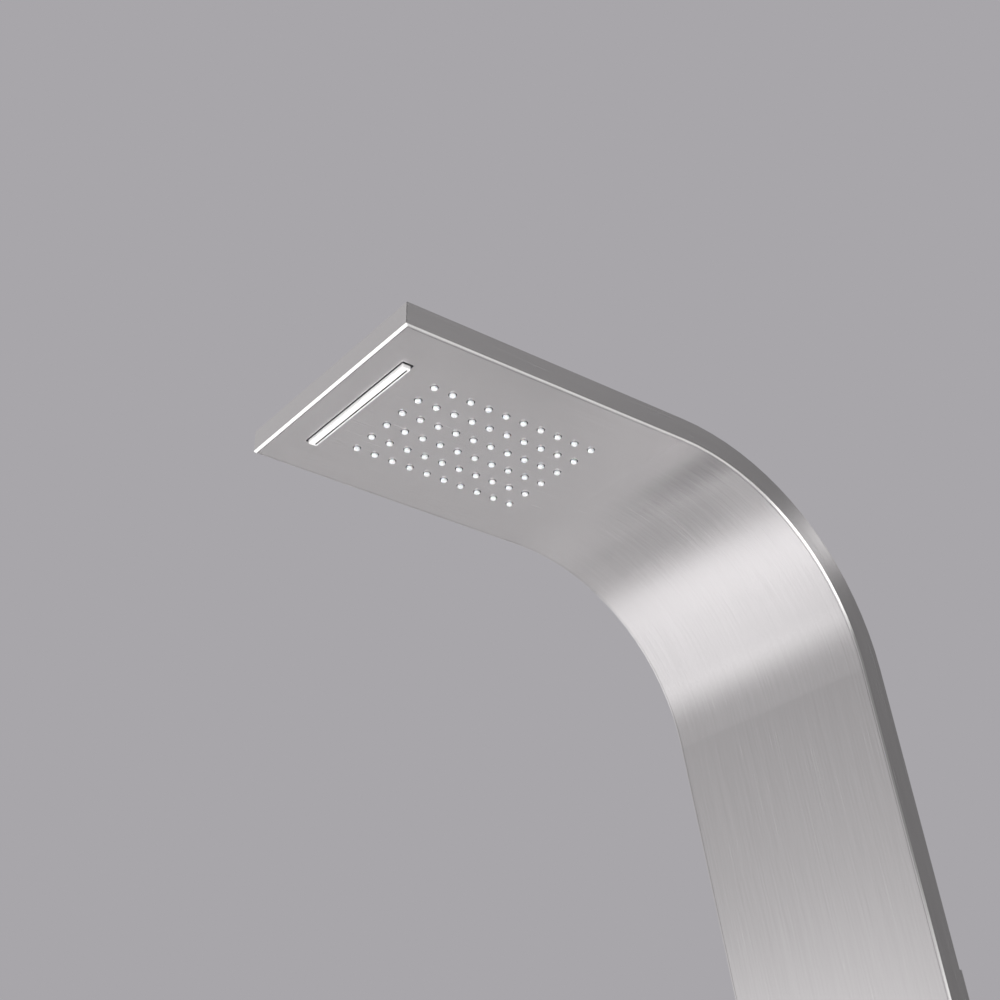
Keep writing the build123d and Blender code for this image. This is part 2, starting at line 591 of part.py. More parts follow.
# ---- valves ---------------------------------------------------------------------------------------
NECK_R, SHOULDER_R, CARTRIDGE_R = 16.5, 21.0, 12.0
NECK_FRONT, CARTRIDGE_FRONT, CARTRIDGE_REAR, BUSH_FRONT = -6.0, -3.0, 25.0, -10.0
SPINDLE_FRONT, SPINDLE_REAR = -33.0, 18.0
INLET_DROP = 24.0  # from the mixer's axis down to the inlet bosses' ends

with BuildPart() as diverter_body:
    turned(0, DIVERTER_Z, [(NECK_FRONT, SHEET, NECK_R), (SHEET, 42, SHOULDER_R)])
    for side in (-1, 1):
        upright(side * PORT_X, HOSE_DEPTH, DIVERTER_Z + 10, 30, BARB_R)
    crossways(PORT_X, HOSE_DEPTH, DIVERTER_Z, 26, BARB_R)
    upright(0, RISER_DEPTH, DIVERTER_Z - 36, 72, SOCKET_R)
    turned(0, DIVERTER_Z, [(NECK_FRONT - 1, CARTRIDGE_REAR, CARTRIDGE_R)], Mode.SUBTRACT)
    turned(0, DIVERTER_Z, [(CARTRIDGE_REAR, 38, 14)], Mode.SUBTRACT)
    for side in (-1, 1):
        upright(side * PORT_X, HOSE_DEPTH, DIVERTER_Z, 41, BARB_BORE_R, Mode.SUBTRACT)
    crossways(PORT_X - 4, HOSE_DEPTH, DIVERTER_Z, 31, BARB_BORE_R, Mode.SUBTRACT)
    upright(0, RISER_DEPTH, DIVERTER_Z - 40, 80, PIPE_BORE_R, Mode.SUBTRACT)
    upright(0, RISER_DEPTH, DIVERTER_Z + 21.5, 20, SOCKET_BORE_R, Mode.SUBTRACT)
    upright(0, RISER_DEPTH, DIVERTER_Z - 41.5, 18, SOCKET_BORE_R, Mode.SUBTRACT)
finish(diverter_body.part, "diverter_body")

with BuildPart() as mixer_body:
    crossways(-54, RISER_DEPTH, MIXER_Z, 108, 17)
    turned(0, MIXER_Z, [(NECK_FRONT, SHEET, NECK_R), (SHEET, RISER_DEPTH, SHOULDER_R)])
    for side in (-1, 1):
        upright(side * INLET_X, RISER_DEPTH, MIXER_Z - INLET_DROP, INLET_DROP, 13)
    upright(0, RISER_DEPTH, MIXER_Z, 32, SOCKET_R)
    crossways(-48, RISER_DEPTH, MIXER_Z, 96, 9, Mode.SUBTRACT)
    turned(0, MIXER_Z, [(NECK_FRONT - 1, CARTRIDGE_REAR, CARTRIDGE_R)], Mode.SUBTRACT)
    for side in (-1, 1):
        upright(side * INLET_X, RISER_DEPTH, MIXER_Z - INLET_DROP - 1, 17, 9, Mode.SUBTRACT)
        upright(side * INLET_X, RISER_DEPTH, MIXER_Z - INLET_DROP, INLET_DROP, 6.5, Mode.SUBTRACT)
    upright(0, RISER_DEPTH, MIXER_Z, 33, PIPE_BORE_R, Mode.SUBTRACT)
    upright(0, RISER_DEPTH, MIXER_Z + 19.5, 14, SOCKET_BORE_R, Mode.SUBTRACT)
finish(mixer_body.part, "mixer_body")

INLET_THREAD, INLET_HEX = 14.0, 6.0
for side, name in ((-1, "hot_inlet"), (1, "cold_inlet")):
    with BuildPart() as inlet_nipple:
        boss_end = MIXER_Z - INLET_DROP
        upright(side * INLET_X, RISER_DEPTH, boss_end, 14, 9)
        with BuildSketch(Plane.XY.offset(boss_end - INLET_HEX)) as collar:
            with Locations((side * INLET_X, FACE_Y + RISER_DEPTH)):
                RegularPolygon(13.8, 6)
        extrude(collar.sketch, amount=INLET_HEX)
        thread_end = boss_end - INLET_HEX - INLET_THREAD
        upright(side * INLET_X, RISER_DEPTH, thread_end, INLET_THREAD, PIPE_THREAD_R)
        chamfer(inlet_nipple.faces().sort_by(Axis.Z)[0].edges(), 0.8)
        upright(side * INLET_X, RISER_DEPTH, thread_end - 1, 50, 6.5, Mode.SUBTRACT)
    finish(inlet_nipple.part, name)

KNOB_R, KNOB_FRONT, KNOB_REAR = 21.0, -38.0, -10.6
TRIM_R, TRIM_FRONT = 28.0, -8.0
SCREW_R = 2.0
for control, centre in (("diverter", DIVERTER_Z), ("mixer", MIXER_Z)):
    with BuildPart() as cartridge:
        turned(0, centre, [(CARTRIDGE_FRONT, CARTRIDGE_REAR, CARTRIDGE_R), (BUSH_FRONT, CARTRIDGE_FRONT, 8)])
        turned(0, centre, [(BUSH_FRONT - 1, SPINDLE_REAR + 1, SPINDLE_R + PIN_CLEARANCE)], Mode.SUBTRACT)
    finish(cartridge.part, f"{control}_cartridge")

    with BuildPart() as trim:
        turned(0, centre, [(TRIM_FRONT, 0, TRIM_R)])
        fillet(trim.faces().sort_by(Axis.Y)[0].edges(), 2.5)
        turned(0, centre, [(-6.6, 1, 24.5)], Mode.SUBTRACT)
        turned(0, centre, [(TRIM_FRONT - 1, -6, 9)], Mode.SUBTRACT)
    finish(trim.part, f"{control}_trim")

    with BuildPart() as spindle:
        turned(0, centre, [(SPINDLE_FRONT, SPINDLE_REAR, SPINDLE_R)])
        chamfer(spindle.edges().sort_by(Axis.Y)[0], 0.5)
    finish(spindle.part, f"{control}_spindle")

    with BuildPart() as knob:
        turned(0, centre, [(KNOB_FRONT, KNOB_REAR, KNOB_R)])
        fillet(knob.faces().sort_by(Axis.Y)[0].edges(), 2.0)
        chamfer(knob.faces().sort_by(Axis.Y)[-1].edges(), 0.8)
        if control == "mixer":
            upright(0, -26, centre + 12, 44, 4.5)
            fillet(knob.edges().sort_by(Axis.Z)[-1], 2.0)
        else:
            with BuildSketch(facing(KNOB_REAR - 4, 0, centre)) as grooves:
                with PolarLocations(KNOB_R + 0.9, 30):
                    Circle(1.7)
            extrude(grooves.sketch, amount=14, mode=Mode.SUBTRACT)
        turned(0, centre, [(SPINDLE_FRONT, 0, SPINDLE_R)], Mode.SUBTRACT)
        upright(0, -22, centre - KNOB_R - 1, KNOB_R + 1, SCREW_R, Mode.SUBTRACT)
    finish(knob.part, f"{control}_knob")

    with BuildPart() as set_screw:
        upright(0, -22, centre - 14, 14 - SPINDLE_R - 0.05, SCREW_R)
        with BuildSketch(Plane.XY.offset(centre - 14)) as hex_socket:
            with Locations((0, FACE_Y - 22)):
                RegularPolygon(1.15, 6)
        extrude(hex_socket.sketch, amount=2.5, mode=Mode.SUBTRACT)
    finish(set_screw.part, f"{control}_set_screw")

with BuildPart() as neck_nuts:
    for centre in (DIVERTER_Z, MIXER_Z):
        with BuildSketch(facing(0, 0, centre)) as ring:
            RegularPolygon(22, 12)
            Circle(NECK_R + 0.05, mode=Mode.SUBTRACT)
        extrude(ring.sketch, amount=4.5)
finish(neck_nuts.part, "neck_nuts")

# ---- hand shower connection -----------------------------------------------------------------------
SHANK_R = 5.2
with BuildPart() as hose_outlet:
    turned(OUTLET_X, OUTLET_Z, [(-3, 0, 15), (-24, -3, 9.5), (0, CAVITY - 0.4, SHANK_R)])
    upright(OUTLET_X, -14.5, OUTLET_Z - 30, 30, 9.0)
    upright(OUTLET_X, -14.5, OUTLET_Z - 30, 12, PIPE_THREAD_R)
    chamfer(hose_outlet.faces().sort_by(Axis.Z)[0].edges(), 0.8)
    upright(OUTLET_X, -14.5, OUTLET_Z - 31, 31, 5.5, Mode.SUBTRACT)
    turned(OUTLET_X, OUTLET_Z, [(-14.5, 11, 3)], Mode.SUBTRACT)
finish(hose_outlet.part, "hose_outlet")

with BuildPart() as outlet_banjo:
    turned(OUTLET_X, OUTLET_Z, [(SHEET, 12, 8.5)])
    upright(OUTLET_X, HOSE_DEPTH, OUTLET_Z + 4, 29, BARB_R)
    upright(OUTLET_X, HOSE_DEPTH, OUTLET_Z, 34, BARB_BORE_R, Mode.SUBTRACT)
    turned(OUTLET_X, OUTLET_Z, [(0, 13, SHANK_R + 0.05)], Mode.SUBTRACT)
finish(outlet_banjo.part, "outlet_banjo")


def shank_nut(x, z, front, rear):
    """Adds the thin hexagon nut that clamps a shank behind the face."""
    with BuildSketch(facing(rear, x, z)) as ring:
        RegularPolygon(8.6, 6)
        Circle(SHANK_R + 0.05, mode=Mode.SUBTRACT)
    extrude(ring.sketch, amount=rear - front)


POST_R = 8.0
with BuildPart() as holder_post:
    turned(HOLDER_X, HOLDER_Z, [(-3, 0, 13), (-16.5, -3, POST_R), (0, 9, SHANK_R)])
    turned(HOLDER_X, HOLDER_Z, [(-12, -8.5, POST_R + 1)], Mode.SUBTRACT)
    turned(HOLDER_X, HOLDER_Z, [(-12, -8.5, 6.4)])
finish(holder_post.part, "holder_post")

with BuildPart() as shank_nuts:
    shank_nut(OUTLET_X, OUTLET_Z, 12, CAVITY - 0.4)
    shank_nut(HOLDER_X, HOLDER_Z, SHEET, SHEET + 2.9)
finish(shank_nuts.part, "shank_nuts")

CUP_DEPTH, CUP_TILT, CUP_LENGTH = -34.0, 12.0, 26.0
CUP_TOP_R, CUP_LOW_R = 12.2, 10.8
with BuildPart() as holder_ring:
    turned(HOLDER_X, HOLDER_Z, [(-24, -3.5, 13.5)])
    cup_axis = Plane(
        origin=(HOLDER_X, FACE_Y + CUP_DEPTH, HOLDER_Z),
        x_dir=(1, 0, 0),
        z_dir=(0, -sin(radians(CUP_TILT)), cos(radians(CUP_TILT))),
    )
    with BuildSketch(cup_axis.offset(-CUP_LENGTH / 2)):
        Circle(15.5)
    extrude(amount=CUP_LENGTH)
    with BuildSketch(cup_axis.offset(-CUP_LENGTH / 2 - 0.5)):
        Circle(CUP_LOW_R)
    with BuildSketch(cup_axis.offset(CUP_LENGTH / 2 + 0.5)):
        Circle(CUP_TOP_R)
    loft(mode=Mode.SUBTRACT)
    with BuildSketch(cup_axis.offset(-CUP_LENGTH / 2 - 1)):
        with Locations((0, -12)):
            Rectangle(15, 14)
    extrude(amount=CUP_LENGTH + 2, mode=Mode.SUBTRACT)
    turned(HOLDER_X, HOLDER_Z, [(-17, 0, POST_R + PIN_CLEARANCE)], Mode.SUBTRACT)
    upright(HOLDER_X, -10.25, HOLDER_Z - 16, 16, 1.6, Mode.SUBTRACT)
finish(holder_ring.part, "holder_ring")

with BuildPart() as holder_screw:
    upright(HOLDER_X, -10.25, HOLDER_Z - 12.5, 12.5 - 6.8, 1.6)
finish(holder_screw.part, "holder_screw")

# ---- wall brackets --------------------------------------------------------------------------------
PLATE = 3.0
HOOK_DEPTH = 24.0
HANGER_SHEET = 2.0
for name, base, hook_width, hanger_width in BRACKETS:
    with BuildPart() as wall_bracket:
        block(0, base, BRACKET_WIDTH, 32, WALL_DEPTH - PLATE, WALL_DEPTH, 4)
        block(0, base + 7.5, hook_width, PLATE, HOOK_DEPTH, WALL_DEPTH - PLATE)
        block(0, base + 14, hook_width, 14, HOOK_DEPTH, HOOK_DEPTH + PLATE)
        with BuildSketch(facing(WALL_DEPTH + 1, 0, base)):
            with GridLocations(BRACKET_SPACING, 1, 2, 1):
                Circle(SCREW_HOLE_R)
        extrude(amount=PLATE + 2, mode=Mode.SUBTRACT)
    finish(wall_bracket.part, f"{name}_wall_bracket")

    with BuildPart() as hanger:
        lip_front = HOOK_DEPTH + PLATE + 0.3
        block(0, base + 4, hanger_width, 44, THICK, THICK + HANGER_SHEET, 3)
        block(0, base + 24, hook_width - 4, HANGER_SHEET, THICK, lip_front + HANGER_SHEET)
        block(0, base + 17, hook_width - 4, 16, lip_front, lip_front + HANGER_SHEET)
        with BuildSketch(facing(THICK + 4)):
            with Locations(*hanger_rivet_places(base, hanger_width)):
                Circle(RIVET_R)
        extrude(amount=5, mode=Mode.SUBTRACT)
    finish(hanger.part, f"{name}_hanger")

with BuildPart() as hanger_rivets:
    for _, base, _, hanger_width in BRACKETS:
        for place in hanger_rivet_places(base, hanger_width):
            rivet(*place, HANGER_SHEET)
finish(hanger_rivets.part, "hanger_rivets")
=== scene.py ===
"""Looks of the rainfall shower column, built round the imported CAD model.

Everything is in metres in the model's own frame: X runs across the column, the user stands on the
-Y side, the wall is the plane Y = 0 and Z is up.
"""

from math import cos, radians, sin

import bpy
from mathutils import Matrix, Vector


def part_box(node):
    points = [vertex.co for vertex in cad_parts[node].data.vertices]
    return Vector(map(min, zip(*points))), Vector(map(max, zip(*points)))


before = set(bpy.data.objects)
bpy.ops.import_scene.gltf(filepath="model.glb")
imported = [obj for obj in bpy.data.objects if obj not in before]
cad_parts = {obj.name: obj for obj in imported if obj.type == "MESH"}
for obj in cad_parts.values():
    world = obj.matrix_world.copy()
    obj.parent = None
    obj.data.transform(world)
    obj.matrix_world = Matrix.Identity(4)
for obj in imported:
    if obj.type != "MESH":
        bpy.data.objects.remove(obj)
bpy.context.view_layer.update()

MM = 0.001

# ---- the casing's section, from the frame ---------------------------------------------------------
THICK = 18.0 * MM  # casing, face to back
SIDE_BEVEL = 1.0 * MM  # bevel along the face's two long edges
FRONT_RISE, FRONT_RUN = 1.4 * MM, 1.8 * MM  # bevel of the front edge, up its end and along the face
EDGE_SLACK = 0.02 * MM  # keeps a bevel's own boundary inside its mask
BEND_RADIUS = 170.4 * MM  # radius of the face round the bend
BEND_TURN = radians(78)  # turn from the column into the head
shell_low, shell_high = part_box("outer_shell")
FACE_Y = shell_high.y - THICK
HALF_WIDTH = shell_high.x
# The bend's centre line runs along X. The head's front edge is where its face starts.
BEND_Y = FACE_Y - BEND_RADIUS
FRONT_Y = shell_low.y - FRONT_RISE * cos(BEND_TURN)
FRONT_EDGE = Vector((0, FRONT_Y, shell_high.z - THICK * sin(BEND_TURN)))
FLAT_LENGTH = (BEND_Y + BEND_RADIUS * cos(BEND_TURN) - FRONT_EDGE.y) / sin(BEND_TURN)
BEND_Z = FRONT_EDGE.z - BEND_RADIUS * sin(BEND_TURN) - FLAT_LENGTH * cos(BEND_TURN)
FACE_LENGTH = BEND_RADIUS * BEND_TURN + FLAT_LENGTH  # from the bend's lower end to the front edge
# Head frame: X across, Y from the front edge towards the bend, Z up through the head.
HEAD = Matrix(
    (
        (1, 0, 0),
        (0, sin(BEND_TURN), cos(BEND_TURN)),
        (0, -cos(BEND_TURN), sin(BEND_TURN)),
    )
)

# The waterfall bar's slit lies behind the bar's middle.
SLIT_OFFSET, SLIT_HALF_WIDTH, SLIT_HALF_LENGTH = 1.55 * MM, 0.55 * MM, 59.0 * MM
blade_low, blade_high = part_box("waterfall_blade")
blade_middle = HEAD.transposed() @ ((Vector(blade_low) + Vector(blade_high)) / 2 - FRONT_EDGE)
SLIT_Y = blade_middle.y + SLIT_OFFSET


def in_head(x, y, z):
    """A point of the head frame, in the model's frame."""
    return FRONT_EDGE + HEAD @ Vector((x, y, z))


# ---- shader nodes ---------------------------------------------------------------------------------
NOISE_LOW, NOISE_HIGH = 0.3, 0.7  # where nearly all of a noise's values lie


class Shader:
    """A material's node tree, with short calls for the nodes that this script uses."""

    def __init__(self, name, **surface):
        self.material = bpy.data.materials.new(name)
        self.material.use_nodes = True
        self.tree = self.material.node_tree
        self.surface = self.tree.nodes["Principled BSDF"]
        for socket, value in surface.items():
            self.surface.inputs[socket.replace("_", " ").title()].default_value = value

    def node(self, kind, inputs=(), **settings):
        """A new node with its settings and its inputs, which are numbers, vectors or sockets."""
        node = self.tree.nodes.new(kind)
        for setting, value in settings.items():
            setattr(node, setting, value)
        for socket, value in dict(inputs).items():
            self.feed(node.inputs[socket], value)
        return node

    def feed(self, socket, value):
        """Links a socket to an input, or sets the input to a number or vector."""
        if isinstance(value, bpy.types.NodeSocket):
            self.tree.links.new(value, socket)
        else:
            socket.default_value = value

    def math(self, operation, *values):
        """The result of a Math node."""
        return self.node("ShaderNodeMath", dict(enumerate(values)), operation=operation).outputs[0]

    def vector_math(self, operation, first, second):
        """The vector result of a Vector Math node."""
        return self.node("ShaderNodeVectorMath", {0: first, 1: second}, operation=operation).outputs[0]

    def vector(self, x, y, z):
        """A vector from three numbers or sockets."""
        return self.node("ShaderNodeCombineXYZ", {0: x, 1: y, 2: z}).outputs[0]

    def place(self):
        """The three coordinates of a point of the piece at rest."""
        place = self.node("ShaderNodeTexCoord").outputs["Object"]
        return self.node("ShaderNodeSeparateXYZ", {0: place}).outputs

    def noise(self, vector, scale=1.0, detail=2.0, roughness=0.5):
        """Noise from 0 to 1 about 0.5."""
        inputs = {"Vector": vector, "Scale": scale, "Detail": detail, "Roughness": roughness}
        return self.node("ShaderNodeTexNoise", inputs, noise_dimensions="3D").outputs[0]

    def between(self, factor, low, high, start=0.0, end=1.0):
        """A number that goes from low to high as factor goes from start to end."""
        inputs = {0: factor, 1: start, 2: end, 3: low, 4: high}
        return self.node("ShaderNodeMapRange", inputs).outputs[0]

    def mix(self, factor, first, second):
        """A colour between two, which are linear colours or sockets."""
        inputs = {0: factor}
        for place, colour in ((6, first), (7, second)):
            inputs[place] = (*colour, 1) if isinstance(colour, tuple) else colour
        return self.node("ShaderNodeMix", inputs, data_type="RGBA").outputs[2]

    def colours(self, factor, dark, light, start=NOISE_LOW, end=NOISE_HIGH):
        """A ramp from a dark to a light linear colour as factor goes from start to end."""
        ramp = self.node("ShaderNodeValToRGB", {0: factor})
        for stop, position, colour in zip(ramp.color_ramp.elements, (start, end), (dark, light)):
            stop.position, stop.color = position, (*colour, 1)
        return ramp.outputs[0]

    def bump(self, height, distance):
        """Raises the surface by height times distance, in metres."""
        inputs = {"Height": height, "Distance": distance, "Strength": 1.0}
        self.set(Normal=self.node("ShaderNodeBump", inputs).outputs[0])

    def set(self, **sockets):
        """Feeds the surface's own inputs."""
        for name, value in sockets.items():
            self.feed(self.surface.inputs[name.replace("_", " ")], value)


# ---- materials ------------------------------------------------------------------------------------
STEEL_DARK, STEEL_LIGHT = (0.61, 0.595, 0.60), (0.70, 0.686, 0.692)
STEEL_SMOOTH, STEEL_ROUGH = 0.20, 0.28  # roughness of the streaks
CLOUD_SCALE, CLOUD_SPREAD = 9.0, 0.02  # scale of faint clouds, and how far they change the roughness
POLISHED_STEEL, POLISHED_ROUGH = (0.93, 0.93, 0.92), 0.14
# Width and length of the brushed sheet's streaks, and the share of each in the whole.
FINE_STREAK, COARSE_STREAK = (0.35 * MM, 35 * MM), (1.6 * MM, 120 * MM)
FINE_SHARE, COARSE_SHARE = 0.55, 0.45
STREAK_HEIGHT = 0.012 * MM
TANGENT_OFFSET = (0.05, 0.0, 0.0)  # keeps the tangent off zero where a normal runs along the grain
# Scale of a metal's marks, and the share by which marks and streaks change its roughness.
MARK_SCALE, MARK_SPREAD, STREAK_SPREAD = 45.0, 0.2, 0.15
# Scale of a moulded piece's flow clouds, and the share by which its skin changes its roughness.
FLOW_SCALE, SKIN_SPREAD = 60.0, 0.15
SKIN_HEIGHT = 0.01 * MM
SILICONE = ((0.80, 0.80, 0.80), (0.86, 0.86, 0.86), 0.42)  # dark, light and roughness
PAINTED_HOLE_SHADE = (0.03, 0.03, 0.032)  # painted shade: the colour of white pieces in their holes
HOLE_FADE = 0.3 * MM  # that painted shade begins this far in front of the face, and is full as far behind it
# On the slit's walls the painted shade is full to SLIT_SLACK past its sides, and gone SLIT_FADE further
# on.
SLIT_SLACK, SLIT_FADE = 0.01 * MM, 0.05 * MM
SLIT_END_SLACK = 0.1 * MM  # how far that painted shade goes past the slit's two ends


def on_casing(shader):
    """X, distance along the casing, depth behind the face, and the turn's sine and cosine."""
    x, y, z = shader.place()
    across = shader.math("SUBTRACT", y, BEND_Y)
    up = shader.math("SUBTRACT", z, BEND_Z)
    turn = shader.math("ARCTAN2", up, across)
    turn = shader.math("MINIMUM", shader.math("MAXIMUM", turn, 0.0), BEND_TURN)
    sine, cosine = shader.math("SINE", turn), shader.math("COSINE", turn)
    # Distance along the casing from the bend's lower end, and depth behind the face.
    sideways = shader.math("MULTIPLY", across, sine)
    ahead = shader.math("SUBTRACT", shader.math("MULTIPLY", up, cosine), sideways)
    along = shader.math("MULTIPLY_ADD", turn, BEND_RADIUS, ahead)
    outward = shader.math("MULTIPLY_ADD", up, sine, shader.math("MULTIPLY", across, cosine))
    depth = shader.math("SUBTRACT", outward, BEND_RADIUS)
    return x, along, depth, sine, cosine


def polished_bevels(shader, x, along, depth):
    """1 on the bevels along the casing's side and front edges, and 0 elsewhere."""
    edge = shader.math("ADD", shader.math("ABSOLUTE", x), shader.math("MULTIPLY", depth, -1.0))
    side_bevel = shader.math("GREATER_THAN", edge, HALF_WIDTH - SIDE_BEVEL - EDGE_SLACK)
    run = shader.math("DIVIDE", shader.math("SUBTRACT", FACE_LENGTH, along), FRONT_RUN)
    front = shader.math("ADD", run, shader.math("DIVIDE", depth, FRONT_RISE))
    front_bevel = shader.math("LESS_THAN", front, 1 + EDGE_SLACK / FRONT_RISE)
    return shader.math("MAXIMUM", side_bevel, front_bevel)


def casing_steel():
    """Stainless sheet with its grain along the casing, round the bend too, and bright bevels."""
    shader = Shader("casing_steel", metallic=1.0, anisotropic=0.5)
    x, along, depth, sine, cosine = on_casing(shader)

    def grain(width, length):
        """Streaks of that width and length."""
        sizes = ((x, width), (along, length), (depth, width))
        place = [shader.math("DIVIDE", part, size) for part, size in sizes]
        return shader.noise(shader.vector(*place), detail=3.0)

    fine, coarse = grain(*FINE_STREAK), grain(*COARSE_STREAK)
    streaks = shader.math("MULTIPLY_ADD", coarse, COARSE_SHARE, shader.math("MULTIPLY", fine, FINE_SHARE))
    clouds = shader.noise(shader.vector(x, along, depth), scale=CLOUD_SCALE)
    rough = shader.between(streaks, STEEL_SMOOTH, STEEL_ROUGH, NOISE_LOW, NOISE_HIGH)
    rough = shader.math("ADD", rough, shader.between(clouds, -CLOUD_SPREAD, CLOUD_SPREAD))
    polished = polished_bevels(shader, x, along, depth)
    colour = shader.mix(polished, shader.colours(streaks, STEEL_DARK, STEEL_LIGHT), POLISHED_STEEL)
    shader.set(Base_Color=colour, Roughness=shader.between(polished, rough, POLISHED_ROUGH))
    shader.bump(streaks, STREAK_HEIGHT)
    # Highlights spread across the grain.
    lengthwise = shader.vector(0.0, shader.math("MULTIPLY", sine, -1.0), cosine)
    normal = shader.node("ShaderNodeNewGeometry").outputs["Normal"]
    crosswise = shader.vector_math("CROSS_PRODUCT", normal, lengthwise)
    shader.set(Tangent=shader.vector_math("ADD", crosswise, TANGENT_OFFSET))
    return shader.material


def metal(name, dark, light, rough, grain=(1.0, 1.0, 1.0), size=0.6 * MM, height=0.004 * MM):
    """A metal whose colour and gloss vary in streaks. grain stretches them along an axis."""
    shader = Shader(name, metallic=1.0)
    x, y, z = shader.place()
    place = [shader.math("DIVIDE", part, size * stretch) for part, stretch in zip((x, y, z), grain)]
    streaks = shader.noise(shader.vector(*place), detail=3.0)
    marks = shader.noise(shader.vector(x, y, z), scale=MARK_SCALE, detail=3.0, roughness=0.6)
    both = shader.math("MULTIPLY", shader.math("ADD", marks, streaks), 0.5)
    gloss = shader.between(marks, rough * (1 - MARK_SPREAD), rough * (1 + MARK_SPREAD))
    change = shader.between(streaks, -rough * STREAK_SPREAD, rough * STREAK_SPREAD)
    shader.set(Base_Color=shader.colours(both, dark, light), Roughness=shader.math("ADD", gloss, change))
    shader.bump(streaks, height)
    return shader.material


def on_head(shader):
    """X, distance behind the front edge, and depth behind the head's face."""
    x, y, z = shader.place()
    across = shader.math("SUBTRACT", y, FRONT_EDGE.y)
    up = shader.math("SUBTRACT", z, FRONT_EDGE.z)
    sine, cosine = sin(BEND_TURN), cos(BEND_TURN)
    back = shader.math("MULTIPLY_ADD", across, sine, shader.math("MULTIPLY", up, -cosine))
    depth = shader.math("MULTIPLY_ADD", up, sine, shader.math("MULTIPLY", across, cosine))
    return x, back, depth


def behind_face(shader):
    """1 behind the head's face and 0 in front of it: the mask of the painted hole shade."""
    _, _, depth = on_head(shader)
    return shader.between(depth, 0.0, 1.0, -HOLE_FADE, HOLE_FADE)


def in_slit(shader):
    """1 on the walls of the waterfall bar's slit and behind the face, and 0 elsewhere: the mask of the
    painted slit shade.
    """
    x, back, _ = on_head(shader)
    aside = shader.math("ABSOLUTE", shader.math("SUBTRACT", back, SLIT_Y))
    wall_end = SLIT_HALF_WIDTH + SLIT_SLACK
    near = shader.between(aside, 1.0, 0.0, wall_end, wall_end + SLIT_FADE)
    inside = shader.math("LESS_THAN", shader.math("ABSOLUTE", x), SLIT_HALF_LENGTH + SLIT_END_SLACK)
    return shader.math("MAXIMUM", shader.math("MULTIPLY", near, inside), behind_face(shader))


def moulded(name, dark, light, rough, size=0.5 * MM, shade=None, **surface):
    """A moulded piece with a fine skin and faint flow clouds, painted dark as shade where shade(shader) is
    1.
    """
    shader = Shader(name, **surface)
    place = shader.vector(*shader.place())
    skin = shader.noise(place, scale=1 / size)
    clouds = shader.noise(place, scale=FLOW_SCALE, detail=3.0)
    colour = shader.colours(clouds, dark, light)
    if shade:
        # Painted shade: the colour turns dark where the piece lies in a hole or slit, where shade falls.
        colour = shader.mix(shade(shader), colour, PAINTED_HOLE_SHADE)
    gloss = shader.between(skin, rough * (1 - SKIN_SPREAD), rough * (1 + SKIN_SPREAD))
    shader.set(Base_Color=colour, Roughness=gloss)
    shader.bump(skin, SKIN_HEIGHT)
    return shader.material


def make_materials():
    """One material for each slot of the record."""
    return {
        "brushed": casing_steel(),
        "chrome": metal(
            "chrome_plate", (0.74, 0.745, 0.755), (0.83, 0.835, 0.84), 0.07, size=8 * MM, height=0.001 * MM
        ),
        "zinc": metal("zinc_plate", (0.46, 0.47, 0.49), (0.60, 0.61, 0.62), 0.38, size=3 * MM),
        "brass": metal("machined_brass", (0.58, 0.42, 0.19), (0.72, 0.55, 0.27), 0.26, grain=(30, 1, 30)),
        "copper": metal("drawn_copper", (0.58, 0.30, 0.18), (0.74, 0.43, 0.28), 0.24, grain=(1, 1, 60)),
        "silicone": moulded("white_silicone", *SILICONE, subsurface_weight=0.15),
        # The white bar gets painted shade on its slit's walls and behind the face.
        "white_plastic": moulded(
            "white_plastic", (0.84, 0.84, 0.84), (0.89, 0.89, 0.89), 0.2, shade=in_slit
        ),
        "dark_plastic": moulded("dark_plastic", (0.022, 0.022, 0.025), (0.034, 0.034, 0.038), 0.45),
        "hose": moulded("hose_braid", (0.030, 0.030, 0.033), (0.055, 0.055, 0.06), 0.4, size=0.8 * MM),
    }


def give_materials():
    """Gives each piece the material of its slot, and the nozzles one with painted shade in the holes round
    them.
    """
    materials = make_materials()
    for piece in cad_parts.values():
        for slot in piece.material_slots:
            slot.material = materials[slot.material.name]
    nozzles = moulded("nozzle_silicone", *SILICONE, shade=behind_face, subsurface_weight=0.1)
    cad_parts["nozzle_mat"].material_slots[0].material = nozzles


give_materials()

# ---- studio ---------------------------------------------------------------------------------------
BACKDROP = (0.392, 0.381, 0.402)
FLOOR_DROP, FLOOR_HALF = 0.70, 9.0  # floor below the column's lower end, and half its width
FLOOR_DARK, FLOOR_LIGHT, PATCH_SCALE = (0.80, 0.795, 0.80), (0.84, 0.835, 0.84), 3.0
# Strength of the surround, which falls from left to right as the direction's X goes up.
SURROUND_LEFT, SURROUND_RIGHT = 0.52, 0.22
SURROUND_FROM, SURROUND_TO = -0.8, 0.6
SURROUND_COLOUR, PANEL_COLOUR = (1.0, 0.985, 0.992), (1.0, 0.99, 0.992)
